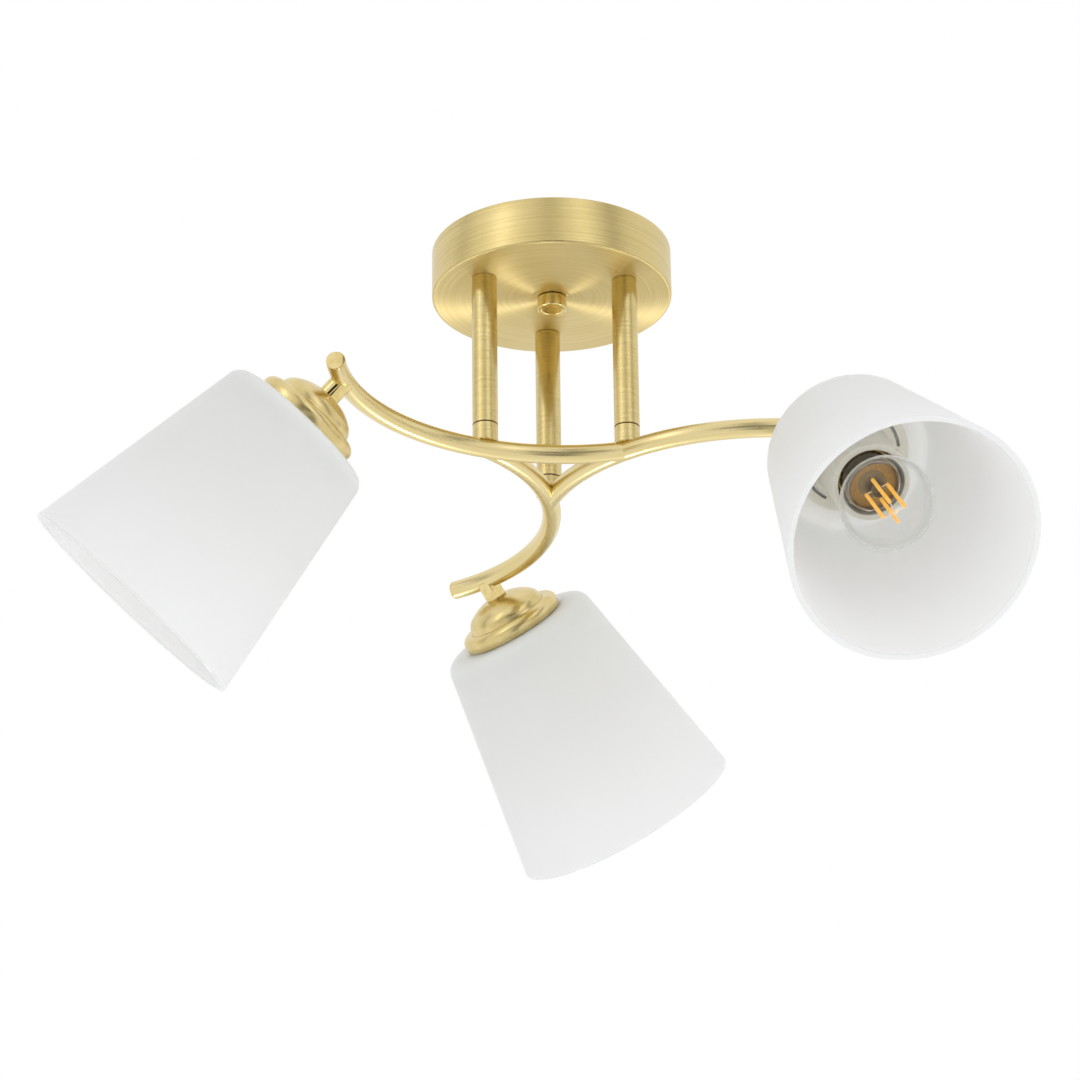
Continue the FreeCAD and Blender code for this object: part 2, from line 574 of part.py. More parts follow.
def shade_rings():
    """Slotted ring that screws up the lampholder's skirt and clamps the shade against the cup."""
    bore = "holder_skirt_radius + thread_gap"
    for spot in SPOTS:
        disc = solid("Cylinder", f"{in_head(spot)} * {at(z='ring_seat')}", Radius="ring_radius",
                     Height="ring_wall")
        collar = solid("Cylinder", f"{in_head(spot)} * {at(z='ring_seat')}", Radius="ring_collar_radius",
                       Height="ring_collar_height")
        tools = [solid("Cylinder", f"{in_head(spot)} * {at(z='ring_seat')}", Radius=bore,
                       Height="ring_collar_height")]
        for number in range(int(size("ring_slots"))):
            start = f"{number} * 360 / ring_slots - ring_slot_angle / 2 + ring_slot_turn"
            place = f"{in_head(spot)} * {at(z='ring_seat')} * {turn(start)}"
            arc = solid("Cylinder", place, Radius="ring_slot_radius + ring_slot_width / 2",
                        Height="ring_wall", Angle="ring_slot_angle")
            core = solid("Cylinder", place, Radius="ring_slot_radius - ring_slot_width / 2",
                         Height="ring_wall", Angle="ring_slot_angle")
            tools.append(cut(arc, [core]))
        keep(cut(joined([disc, collar]), tools), f"shade_ring_{spot}")


def shades():
    """Blown opal glass: flat top with the lampholder's hole, rounded shoulder, straight flare, open mouth."""
    lean, wall, top, mouth = "shade_lean", "shade_wall", "shade_seat", "shade_seat + shade_height"
    turn_in = "shade_shoulder_round"
    fall = f"({turn_in} * (1 - sin({lean})))"
    tangent = f"shade_top_radius + {fall} * shade_slope"
    flat = f"({tangent}) - {turn_in} * cos({lean})"
    inner_round = f"({turn_in} - {wall})"
    inner_tangent = f"({tangent}) - {wall} * cos({lean})"
    inner_fall = f"{top} + {fall} + {wall} * sin({lean})"
    inner_mouth = f"shade_mouth_radius - {wall} / cos({lean})"
    for spot in SPOTS:
        turned(f"glass_shade_{spot}", [
            ("shade_hole_radius", top), (flat, top), (tangent, f"{top} + {fall}", turn_in),
            ("shade_mouth_radius - shade_lip_round * shade_slope", f"{mouth} - shade_lip_round"),
            ("shade_mouth_radius - shade_lip_round", mouth, "shade_lip_round"),
            (f"{inner_mouth} + shade_lip_round", mouth),
            (f"{inner_mouth} - shade_lip_round * shade_slope", f"{mouth} - shade_lip_round",
             "shade_lip_round"),
            (inner_tangent, inner_fall), (flat, f"{top} + {wall}", inner_round, -1),
            ("shade_hole_radius", f"{top} + {wall}")], in_head(spot))


# ---------------------------------------------------------------- bulbs

def bulb_globes():
    """Clear golf ball glass: most of a sphere, drawn in to a neck that is cemented into the cap."""
    wall, middle, radius = "globe_wall", "globe_centre", "globe_radius"
    join = "neck_join_angle"
    inner = f"({radius} - {wall})"
    blend = "(globe_radius * 0.35)"
    for spot in SPOTS:
        turned(f"bulb_globe_{spot}", [
            (f"neck_radius - {wall}", "bulb_cap_rim - neck_in_cap"),
            ("neck_radius", "bulb_cap_rim - neck_in_cap"),
            ("neck_radius", "neck_start"),
            (f"{radius} * sin({join})", f"{middle} - {radius} * cos({join})", blend, -1),
            (radius, middle, radius), ("0", f"{middle} + {radius}", radius),
            ("0", f"{middle} + {inner}"), (inner, middle, inner, -1),
            (f"{inner} * sin({join})", f"{middle} - {inner} * cos({join})", inner, -1),
            (f"neck_radius - {wall}", "neck_start", f"{blend} + {wall}")], in_head(spot))


def bulb_caps():
    """Pressed metal screw cap: a plain skirt, rounded thread turns and a drawn-in end."""
    crest, root = "bulb_cap_radius", "bulb_cap_radius - bulb_thread_depth"
    for spot in SPOTS:
        skirt = "bulb_cap_rim - bulb_skirt_length"
        corners = [(f"{crest} - bulb_cap_wall", "bulb_cap_rim"),
                   (f"{crest} - bulb_cap_wall", f"{skirt} + skirt_step_high"),
                   (f"{root} - bulb_cap_wall", f"{skirt} + skirt_step_low"),
                   (f"{root} - bulb_cap_wall", "bulb_cap_end"), (root, "bulb_cap_end")]
        start = f"{skirt} - bulb_thread_turns * bulb_thread_pitch"
        for number in range(int(size("bulb_thread_turns"))):
            low = f"{start} + {number} * bulb_thread_pitch"
            corners += [(root, low), (crest, f"{low} + bulb_thread_pitch / 2"),
                        (root, f"{low} + bulb_thread_pitch * 0.9")]
        corners += [(root, f"{skirt} + skirt_step_low"), (crest, f"{skirt} + skirt_step_high"),
                    (crest, "bulb_cap_rim")]
        turned(f"bulb_cap_{spot}", corners, in_head(spot))


def bulb_buttons():
    """Centre contact with its black glass insulator, which closes the end of the cap."""
    root = "bulb_cap_radius - bulb_thread_depth"
    for spot in SPOTS:
        turned(f"bulb_button_{spot}", [
            ("0", "button_end"), ("button_radius - button_round", "button_end"),
            ("button_radius", "button_end + button_round", "button_round"),
            ("button_radius", "button_end + button_height"),
            (f"{root} - insulator_inset", "bulb_cap_end"),
            (f"{root} - bulb_cap_wall - insulator_gap", "bulb_cap_end + insulator_seat"),
            ("0", "bulb_cap_end + insulator_seat")], in_head(spot))


def bulb_stems():
    """Glass stem, flared to meet the neck, that carries the filaments' wires."""
    foot = "bulb_cap_rim - stem_foot_drop"
    for spot in SPOTS:
        turned(f"bulb_stem_{spot}", [
            ("0", foot), ("stem_foot_radius", foot), ("stem_foot_radius", f"{foot} + stem_foot_height"),
            ("stem_radius", f"{foot} + stem_flare_height", "stem_foot_radius", -1),
            ("stem_radius", "stem_top - stem_tip_round"),
            ("stem_radius - stem_tip_round", "stem_top", "stem_tip_round"), ("0", "stem_top")], in_head(spot))


def bulb_filaments():
    """Four coated filament sticks round the stem, their wires, and the hub that ties them at the tip."""
    for spot in SPOTS:
        hub = f"{in_head(spot)} * {at(z='filament_end + hub_lift')}"
        pieces = [solid("Cylinder", hub, Radius="hub_radius", Height="hub_height")]
        for number in range(4):
            aim = f"{in_head(spot)} * {turn(f'filament_turn + {number * 90}')}"
            pieces.append(solid("Cylinder", f"{aim} * {at('filament_circle', '0', 'filament_start')}",
                                Radius="filament_radius", Height="filament_end - filament_start"))
            for level, reach in (("filament_end + top_spoke_lift", "hub_radius / 2"),
                                 ("filament_start - foot_spoke_drop", "(stem_radius + slide_gap)")):
                spoke = f"{aim} * placement(vector({reach}; 0; {level}); rotation(vector(0; 1; 0); 90))"
                pieces.append(solid("Cylinder", spoke, Radius="wire_radius",
                                    Height=f"filament_circle - {reach}"))
            for level in ("filament_start - lead_drop", "filament_end - lead_sink"):
                pieces.append(solid("Cylinder", f"{aim} * {at('filament_circle', '0', level)}",
                                    Radius="wire_radius * 1.4", Height="lead_length"))
        keep(joined(pieces), f"bulb_filament_{spot}")


for make in (ceiling_bracket, centre_stud, canopy, cap_nut, terminal_block, canopy_fasteners, posts,
             ferrules, arms, arm_end_caps, stubs, cups, head_fasteners, lampholders, holder_contacts,
             shade_rings, shades, bulb_globes, bulb_caps, bulb_buttons, bulb_stems, bulb_filaments):
    make()
doc.recompute()

for thing in doc.Objects:
    if {"Invalid", "Error"} & set(thing.State):
        raise RuntimeError(f"{thing.Label} did not build: {thing.State}")
for part in subparts:
    if part.Shape.isNull() or not part.Shape.isValid():
        raise RuntimeError(f"{part.Label} has no valid shape")
os.makedirs("parts", exist_ok=True)
for part in subparts:
    part.Shape.exportStep(f"parts/{part.Label}.step")
    print(f"{part.Label}: {len(part.Shape.Solids)} solid(s), {part.Shape.Volume:.1f} mm3")
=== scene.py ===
"""Semi flush ceiling light: how it looks. The sections follow the order in which the light is put together,
from the ceiling strap down to the bulbs. Lengths are millimetres until a mesh is finished."""
import bmesh
import bpy
from math import acos, atan, atan2, cos, pi, radians, sin, sqrt, tan
from mathutils import Matrix, Vector


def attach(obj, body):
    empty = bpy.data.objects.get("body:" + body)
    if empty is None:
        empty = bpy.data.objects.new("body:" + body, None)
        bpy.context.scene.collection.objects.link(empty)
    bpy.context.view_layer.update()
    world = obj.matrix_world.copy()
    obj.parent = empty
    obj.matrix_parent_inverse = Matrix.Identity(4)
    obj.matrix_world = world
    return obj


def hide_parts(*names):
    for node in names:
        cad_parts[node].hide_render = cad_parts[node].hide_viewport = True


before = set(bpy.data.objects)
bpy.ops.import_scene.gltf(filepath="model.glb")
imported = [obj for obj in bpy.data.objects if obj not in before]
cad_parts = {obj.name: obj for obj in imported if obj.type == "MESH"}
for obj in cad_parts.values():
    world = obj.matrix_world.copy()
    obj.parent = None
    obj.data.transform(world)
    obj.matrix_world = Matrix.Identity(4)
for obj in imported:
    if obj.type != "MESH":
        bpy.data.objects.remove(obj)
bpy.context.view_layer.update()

SPOTS = {"right": -30, "rear": 90, "left": 210}


# ---------------------------------------------------------------- strap and what the canopy hides
# The steel strap lies against the ceiling with the stud, its lock nut, the earth screw and the terminal
# block. These keep their built shapes and only take a surface, as nothing here shows once the light is up.

class Wire:
    """A socket in a node tree. Sums on it add Math nodes, and make() adds any other node."""

    def __init__(self, tree, socket):
        self.tree, self.socket = tree, socket

    def make(self, kind, settings, *values, out=0, stops=(), **named):
        """settings are set first, then sockets by order (None leaves one alone) or by name."""
        node = self.tree.nodes.new(kind)
        for key, value in settings.items():
            setattr(node, key, value)
        for element, (place, colour) in zip(self.ramp(node, len(stops)), stops):
            element.position, element.color = place, (*colour, 1)
        given = [(node.inputs[i], v) for i, v in enumerate(values) if v is not None]
        given += [(node.inputs[key.replace("_", " ")], v) for key, v in named.items()]
        for socket, value in given:
            if isinstance(value, Wire):
                self.tree.links.new(value.socket, socket)
            else:
                socket.default_value = value
        return Wire(self.tree, node.outputs[out])

    @staticmethod
    def ramp(node, count):
        while count > 2 and len(node.color_ramp.elements) < count:
            node.color_ramp.elements.new(1)
        return node.color_ramp.elements if count else ()

    def maths(self, operation, *values):
        return self.make("ShaderNodeMath", {"operation": operation}, *values)

    def root(self):
        return self.maths("SQRT", self)

    def __add__(self, other):
        return self.maths("ADD", self, other)

    def __sub__(self, other):
        return self.maths("SUBTRACT", self, other)

    def __rsub__(self, other):
        return self.maths("SUBTRACT", other, self)

    def __mul__(self, other):
        return self.maths("MULTIPLY", self, other)

    def __truediv__(self, other):
        return self.maths("DIVIDE", self, other)

    def __gt__(self, other):
        return self.maths("GREATER_THAN", self, other)

    __radd__, __rmul__ = __add__, __mul__

    def split(self):
        """The x, y and z of a vector."""
        parts = self.make("ShaderNodeSeparateXYZ", {}, self)
        return [Wire(self.tree, socket) for socket in parts.socket.node.outputs]

    def off_axis(self):
        """How far a point is from the Z axis."""
        x, y, z = self.split()
        return (x * x + y * y).root()

    def vector(self, x, y, z):
        return self.make("ShaderNodeCombineXYZ", {}, x, y, z)

    def noise(self, at, scale, detail=2.0):
        return self.make("ShaderNodeTexNoise", {}, Vector=at, Scale=scale, Detail=detail)

    def ramped(self, *stops):
        """A colour picked by this value from (place, colour) stops."""
        return self.make("ShaderNodeValToRGB", {}, self, stops=stops)

    def between(self, low, high):
        """low to high as this value goes from 0 to 1."""
        return self.make("ShaderNodeMapRange", {}, self, None, None, low, high)

    def blend(self, low, high):
        """The colour low where this value is 0 and high where it is 1."""
        return self.make("ShaderNodeMix", {"data_type": "RGBA"}, self, None, None, None, None, None, low,
                         high, out=2)

    def bump(self, strength, distance):
        return self.make("ShaderNodeBump", {}, strength, distance, Height=self)


def surface(name, varying, own=True, **fixed):
    """A material with fixed socket values. varying takes the point in the piece's own frame, in
    millimetres, and gives the sockets that change over it. A piece without one uses the object's."""
    material = bpy.data.materials.new(name)
    material.use_nodes = True
    tree = material.node_tree
    shader = tree.nodes["Principled BSDF"]
    for key, value in fixed.items():
        shader.inputs[key.replace("_", " ")].default_value = value
    start = Wire(tree, None)
    if own:
        point = start.make("ShaderNodeAttribute", {"attribute_name": "own"}, out=1)
    else:
        point = start.make("ShaderNodeTexCoord", {}, out=3)
        point = point.make("ShaderNodeVectorMath", {"operation": "SCALE"}, point, Scale=1000)
    for key, wire in varying(point).items():
        tree.links.new(wire.socket, shader.inputs[key.replace("_", " ")])
    return material


def paint(material, slot, *nodes):
    """Gives a surface to CAD nodes that are shown as they are."""
    for node in nodes:
        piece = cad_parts[node]
        for place in piece.material_slots:
            place.link, place.material = "OBJECT", material


def zinc(point):
    cloud = point.noise(point, 0.22, 4.0)
    grain = point.noise(point, 3.0)
    spangle = cloud * 0.7 + grain * 0.3
    return {"Base_Color": spangle.ramped((0.3, (0.42, 0.43, 0.44)), (0.7, (0.66, 0.67, 0.68))),
            "Roughness": cloud.between(0.22, 0.42), "Normal": grain.bump(0.15, 0.05)}


def bare_brass(point):
    cloud = point.noise(point, 0.4, 3.0)
    return {"Base_Color": cloud.ramped((0.3, (0.55, 0.38, 0.13)), (0.7, (0.78, 0.58, 0.24))),
            "Roughness": cloud.between(0.18, 0.38)}


def white_block(point):
    grain = point.noise(point, 1.5, 3.0)
    return {"Base_Color": grain.ramped((0.3, (0.74, 0.74, 0.71)), (0.7, (0.84, 0.84, 0.81))),
            "Roughness": grain.between(0.42, 0.58)}


steel = surface("Zinc plated steel", zinc, own=False, Metallic=1.0)
contact = surface("Contact brass", bare_brass, own=False, Metallic=1.0)
block = surface("Terminal block", white_block, own=False)
paint(steel, "zinc_steel", "ceiling_bracket", "centre_stud", "stud_lock_nut", "block_screw", "post_nuts",
      "post_nipples", "head_nipples", "head_nuts")
paint(contact, "contact_brass", "terminal_screws", "earth_screw", "contact_tongues",
      *(f"screw_shell_{spot}" for spot in SPOTS))
paint(block, "block_plastic", "terminal_block")


# ---------------------------------------------------------------- canopy and cap nut
# A spun cup, 120 mm across and 25 mm deep, brushed round its side and in circles underneath. The polished
# blind nut at its centre has a shallow dish inside a narrow rim.

CANOPY_RADIUS, CANOPY_DEPTH, SHEET = 60, 25, 1.2
SPUN_EDGE, CUT_EDGE, INNER_EDGE = 1.2, 0.35, 0.8
NUT_GAP, NUT_HEIGHT, NUT_RADIUS, NUT_BORE, NUT_WALL = 0.3, 6.3, 7.3, 3.05, 2
DISH_RADIUS, DISH_RIM, DISH_DEPTH = 5.2, 5.9, 0.6

class Profile:
    """Half the outline of a turned piece: (radius, height) points from a start, by lines and arcs."""

    def __init__(self, radius, height):
        self.corners = [(radius, height, 0)]

    def line(self, radius, height, soft=0):
        """A straight run; soft rounds the corner that it ends in."""
        self.corners.append((radius, height, soft))
        return self

    def arc(self, radius, height, bend, way=1, steps=10):
        """An arc of radius bend to a point, anticlockwise when way is 1."""
        a, b = Vector(self.corners[-1][:2]), Vector((radius, height))
        chord = b - a
        side = Vector((-chord.y, chord.x)).normalized() * way
        middle = (a + b) / 2 + side * sqrt(max(bend ** 2 - chord.length ** 2 / 4, 0))
        begin = atan2(a.y - middle.y, a.x - middle.x)
        sweep = (atan2(b.y - middle.y, b.x - middle.x) - begin) % (2 * pi)
        sweep = sweep if way == 1 else sweep - 2 * pi
        for i in range(1, steps + 1):
            angle = begin + sweep * i / steps
            self.corners.append((middle.x + bend * cos(angle), middle.y + bend * sin(angle), 0))
        return self

    def points(self, steps=4):
        """All points, with each soft corner turned into a small arc."""
        made = []
        count = len(self.corners)
        for i, (radius, height, soft) in enumerate(self.corners):
            here = Vector((radius, height))
            if not soft:
                made.append(here)
                continue
            back = Vector(self.corners[i - 1][:2]) - here
            on = Vector(self.corners[(i + 1) % count][:2]) - here
            opening = acos(max(-1, min(1, back.normalized().dot(on.normalized()))))
            reach = min(soft / tan(opening / 2), back.length * 0.48, on.length * 0.48)
            a, b = here + back.normalized() * reach, here + on.normalized() * reach
            for step in range(steps + 1):
                t = step / steps
                made.append(a * (1 - t) ** 2 + here * 2 * t * (1 - t) + b * t ** 2)
        return made


def finished(name, shape, material, nodes, body="fitting", place=Matrix(), smooth=32):
    """A shown piece: shape is a bmesh or mesh in the piece's own frame, which is kept for its surface
    before the piece is carried to its place. It stands for the CAD nodes and rides on their body."""
    if isinstance(shape, bmesh.types.BMesh):
        mesh = bpy.data.meshes.new(name)
        bmesh.ops.recalc_face_normals(shape, faces=shape.faces)
        shape.to_mesh(mesh)
        shape.free()
    else:
        mesh = shape
        mesh.name = name
    if "own" not in mesh.attributes:
        own = mesh.attributes.new("own", "FLOAT_VECTOR", "POINT")
        own.data.foreach_set("vector", [c for v in mesh.vertices for c in v.co])
    mesh.transform(Matrix.Scale(0.001, 4) @ place)
    mesh.shade_smooth()
    mesh.set_sharp_from_angle(angle=radians(smooth))
    mesh.materials.clear()
    mesh.materials.append(material)
    piece = bpy.data.objects.new(name, mesh)
    bpy.context.scene.collection.objects.link(piece)
    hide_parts(*nodes)
    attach(piece, body)
    return piece


def spun(profile, steps=128):
    """A bmesh turned about +Z from a profile, closed unless both its ends are on the axis."""
    shape = bmesh.new()
    points = profile.points()
    turns = [2 * pi * i / steps for i in range(steps)]
    rings = []
    for radius, height in points:
        if radius < 1e-6:
            rings.append([shape.verts.new((0, 0, height))] * steps)
            continue
        rings.append([shape.verts.new((radius * cos(turn), radius * sin(turn), height)) for turn in turns])
    open_ended = points[0].x < 1e-6 and points[-1].x < 1e-6
    for row in range(len(rings) - (1 if open_ended else 0)):
        low, high = rings[row], rings[(row + 1) % len(rings)]
        for i in range(steps):
            j = (i + 1) % steps
            corners = list(dict.fromkeys((low[i], low[j], high[j], high[i])))
            if len(corners) > 2:
                shape.faces.new(corners)
    return shape


def brushed_round(point):
    """Fine lines round the piece's own axis over slow changes of tone, deeper on the canopy's face."""
    x, y, z = point.split()
    radius = (x * x + y * y + 0.01).root()
    run = radius + z
    lines = point.noise(point.vector(x / radius * 0.5, y / radius * 0.5, run * 1.6), 1.5, 3.0)
    cloud = point.noise(point, 0.03, 2.0)
    tone = lines * 0.75 + cloud * 0.25
    face = (z > -CANOPY_DEPTH - 0.5) * (1 - (z > 0.4 - CANOPY_DEPTH))
    return {"Base_Color": tone.ramped((0.3, (0.60, 0.465, 0.175)), (0.7, (0.76, 0.62, 0.30))),
            "Roughness": tone.between(0.28, 0.22) + face * 0.13}


def polished_brass(point):
    smear = point.noise(point, 0.35, 3.0)
    return {"Base_Color": smear.ramped((0.35, (0.71, 0.55, 0.22)), (0.65, (0.82, 0.67, 0.33))),
            "Roughness": smear.between(0.05, 0.12)}


satin = surface("Satin brass", brushed_round, Metallic=1.0, Anisotropic=0.9, Coat_Weight=0.15,
                Coat_Roughness=0.25)
polished = surface("Polished brass", polished_brass, Metallic=1.0)

finished("Canopy", spun(
    Profile(0, -CANOPY_DEPTH).line(CANOPY_RADIUS, -CANOPY_DEPTH, SPUN_EDGE).line(CANOPY_RADIUS, 0, CUT_EDGE)
    .line(CANOPY_RADIUS - SHEET, 0, CUT_EDGE).line(CANOPY_RADIUS - SHEET, SHEET - CANOPY_DEPTH, INNER_EDGE)
    .line(0, SHEET - CANOPY_DEPTH), 256), satin, ["canopy"])

NUT_TOP = -CANOPY_DEPTH - NUT_GAP
NUT_END = NUT_TOP - NUT_HEIGHT
finished("Cap_nut", spun(
    Profile(0, NUT_END + DISH_DEPTH).line(DISH_RADIUS, NUT_END + DISH_DEPTH, 0.4)
    .line(DISH_RIM, NUT_END, 0.25).line(NUT_RADIUS, NUT_END, 0.6).line(NUT_RADIUS, NUT_TOP, 0.3)
    .line(NUT_BORE, NUT_TOP).line(NUT_BORE, NUT_END + NUT_WALL).line(0, NUT_END + NUT_WALL), 96),
    polished, ["cap_nut"], body="cap_nut")


# ---------------------------------------------------------------- posts and ferrules
# Three brushed tubes stand under the canopy. Each ends in a short ferrule that sits astride its arm, where
# small bright beads of braze show.

POST_CIRCLE, POST_RADIUS, POST_LENGTH, POST_WALL = 40.2, 6.25, 81.2, 1
SEAM = -CANOPY_DEPTH - POST_LENGTH
ARM_LEVEL, ARM_RADIUS, ARM_SWING = -118.5, 4.7, 78.6
TENON, TENON_LENGTH = POST_RADIUS - 1.1, 12
FERRULE_END = ARM_LEVEL + ARM_RADIUS - 1.8


def turned_by(angle):
    return Matrix.Rotation(radians(angle), 4, "Z")


def brushed_post(point):
    """The canopy's brushing, with the dark line of the seam between post and ferrule."""
    z = point.split()[2]
    given = brushed_round(point)
    seam = (z > SEAM - 0.4) * (1 - (z > SEAM + 0.4))
    given["Base_Color"] = seam.blend(given["Base_Color"], (0.16, 0.10, 0.03, 1))
    given["Roughness"] = given["Roughness"] * 0.3 + 0.175
    return given


satin_post = surface("Satin brass post", brushed_post, Metallic=1.0, Anisotropic=0.9, Coat_Weight=0.1,
                     Coat_Roughness=0.25)


def grown(name, build, material, sizes):
    """The mesh of a Geometry Nodes tree. sizes become its inputs; build takes them as wires by name."""
    tree = bpy.data.node_groups.new(name, "GeometryNodeTree")
    entry = tree.nodes.new("NodeGroupInput")
    for key, value in sizes.items():
        kind = "NodeSocketInt" if isinstance(value, int) else "NodeSocketFloat"
        tree.interface.new_socket(key, in_out="INPUT", socket_type=kind)
    tree.interface.new_socket("Geometry", in_out="OUTPUT", socket_type="NodeSocketGeometry")
    wires = {key: Wire(tree, entry.outputs[key]) for key in sizes}
    last = build(Wire(tree, None), wires)
    whole = last.make("GeometryNodeRealizeInstances", {}, last)
    whole = whole.make("GeometryNodeSetMaterial", {}, whole, Material=material)
    tree.links.new(whole.socket, tree.nodes.new("NodeGroupOutput").inputs[0])
    holder = bpy.data.objects.new(name, bpy.data.meshes.new(name))
    bpy.context.scene.collection.objects.link(holder)
    modifier = holder.modifiers.new(name, "NODES")
    modifier.node_group = tree
    for item in tree.interface.items_tree:
        if item.in_out == "INPUT":
            modifier[item.identifier] = sizes[item.name]
    seen = holder.evaluated_get(bpy.context.evaluated_depsgraph_get())
    mesh = bpy.data.meshes.new_from_object(seen)
    bpy.data.objects.remove(holder)
    return mesh


def beads(start, size):
    """Beads of braze along the line where the ferrule meets the arm, which runs along X through zero."""
    line = start.make("GeometryNodeMeshLine", {}, size["Count"])
    number = start.make("GeometryNodeInputIndex", {})
    angle = number * 2 * pi / size["Count"] + 0.2
    across = size["Post Radius"] * angle.maths("SINE", angle)
    under = size["Arm Radius"] * size["Arm Radius"] - across * across
    height = under.maths("MAXIMUM", under, 0.0).root()
    height = height.maths("MAXIMUM", height, size["Lowest"])
    place = start.vector(size["Post Radius"] * angle.maths("COSINE", angle), across, height)
    line = line.make("GeometryNodeSetPosition", {}, line, None, place)
    bead = start.make("GeometryNodeMeshIcoSphere", {}, size["Bead"], 3)
    swell = start.make("FunctionNodeRandomValue", {"data_type": "FLOAT"}, None, None, 0.55, 1.15, Seed=4,
                       out=1)
    return line.make("GeometryNodeInstanceOnPoints", {}, line, None, bead, None, None, None, swell)


for spot, angle in SPOTS.items():
    foot = turned_by(angle) @ Matrix.Translation((POST_CIRCLE, 0, 0))
    finished(f"Post_{spot}", spun(
        Profile(POST_RADIUS, SEAM).line(POST_RADIUS, -CANOPY_DEPTH, CUT_EDGE)
        .line(POST_RADIUS - POST_WALL, -CANOPY_DEPTH).line(POST_RADIUS - POST_WALL, SEAM)
        .line(POST_RADIUS, SEAM, CUT_EDGE), 96),
        satin_post, [f"post_{spot}"], place=foot)
    finished(f"Ferrule_{spot}", spun(
        Profile(0, FERRULE_END).line(POST_RADIUS, FERRULE_END, 0.4).line(POST_RADIUS, SEAM, CUT_EDGE)
        .line(TENON, SEAM).line(TENON, SEAM + TENON_LENGTH).line(0, SEAM + TENON_LENGTH), 96),
        satin_post, [f"post_ferrule_{spot}"], place=foot)
    braze = grown("Beads", beads, polished, {
        "Count": 14, "Post Radius": POST_RADIUS, "Arm Radius": ARM_RADIUS, "Bead": 0.6,
        "Lowest": FERRULE_END - ARM_LEVEL})
    lie = Matrix.Translation((0, 0, ARM_LEVEL)) @ turned_by(ARM_SWING + 90)
    finished(f"Braze_{spot}", braze, polished, [], place=foot @ lie)


# ---------------------------------------------------------------- arms
# Each arm is one round tube on a single arc. The three start on one another like a pinwheel and run out
# past the posts to a polished plug in their free ends.

BEND, ARM_END = 110.3, -36.5
PLUG_RADIUS, PLUG_LENGTH, PLUG_HEAD = 3.6, 4, 1.2
ARC_X = POST_CIRCLE + BEND * cos(radians(ARM_SWING))
ARC_Y = BEND * sin(radians(ARM_SWING))
reach = sqrt(ARC_X ** 2 + ARC_Y ** 2)
meet = reach / 2 - sqrt(BEND ** 2 - 0.75 * reach ** 2)
bearing = atan2(ARC_Y, ARC_X) + radians(60)
ARM_START = atan2(meet * sin(bearing) - ARC_Y, meet * cos(bearing) - ARC_X)


def arm_tubes(start, size):
    """An arc swept with a round section, repeated round the light's axis; own holds (across, up, along)."""
    arc = start.make("GeometryNodeCurveArc", {"mode": "RADIUS"}, size["Steps"], Radius=size["Bend"],
                     Start_Angle=size["Start"], Sweep_Angle=size["Sweep"])
    length = start.make("GeometryNodeSplineParameter", {}, out=1)
    arc = arc.make("GeometryNodeStoreNamedAttribute", {}, arc, None, "along", length)
    ring = start.make("GeometryNodeCurvePrimitiveCircle", {}, size["Round"], Radius=size["Radius"])
    section = start.make("GeometryNodeInputPosition", {})
    ring = ring.make("GeometryNodeStoreNamedAttribute", {"data_type": "FLOAT_VECTOR"}, ring, None,
                     "section", section)
    tube = start.make("GeometryNodeCurveToMesh", {}, arc, ring)
    along = start.make("GeometryNodeInputNamedAttribute", {"data_type": "FLOAT"}, "along")
    across = start.make("GeometryNodeInputNamedAttribute", {"data_type": "FLOAT_VECTOR"}, "section")
    x, y, z = across.split()
    tube = tube.make("GeometryNodeStoreNamedAttribute", {"data_type": "FLOAT_VECTOR"}, tube, None, "own",
                     start.vector(x, y, along))
    spots = start.make("GeometryNodeMeshLine", {}, size["Count"], Offset=(0, 0, 0))
    turn = start.make("GeometryNodeInputIndex", {}) * 2 * pi / size["Count"] + size["First"]
    shift = start.vector(size["Arc X"], size["Arc Y"], size["Level"])
    tube = tube.make("GeometryNodeTransform", {}, tube, Translation=shift)
    turned = start.vector(0, 0, turn)
    return spots.make("GeometryNodeInstanceOnPoints", {}, spots, None, tube, Rotation=turned)


def brushed_along(point):
    """Fine lines that run along a tube over slow changes of tone."""
    x, y, z = point.split()
    lines = point.noise(point.vector(x * 1.6, y * 1.6, z * 0.006), 1.0, 2.0)
    drift = point.noise(point.vector(x * 0.1, y * 0.1, z * 0.02), 1.0, 2.0)
    tone = lines * 0.5 + drift * 0.5
    return {"Base_Color": tone.ramped((0.3, (0.69, 0.56, 0.25)), (0.7, (0.82, 0.69, 0.38))),
            "Roughness": tone.between(0.3, 0.25)}


satin_tube = surface("Satin brass tube", brushed_along, Metallic=1.0)
finished("Arms", grown("Arm tubes", arm_tubes, satin_tube, {
    "Steps": 97, "Bend": BEND, "Start": ARM_START, "Sweep": radians(ARM_END) - ARM_START, "Round": 48,
    "Radius": ARM_RADIUS, "Count": 3, "First": radians(SPOTS["right"]), "Arc X": ARC_X, "Arc Y": ARC_Y,
    "Level": ARM_LEVEL}), satin_tube, [f"arm_{spot}" for spot in SPOTS])


def on_arm(spot, angle):
    """The place of a point on an arm's centre line, with +X out from the arc's centre."""
    x = ARC_X + BEND * cos(radians(angle))
    y = ARC_Y + BEND * sin(radians(angle))
    return turned_by(SPOTS[spot]) @ Matrix.Translation((x, y, ARM_LEVEL)) @ turned_by(angle)


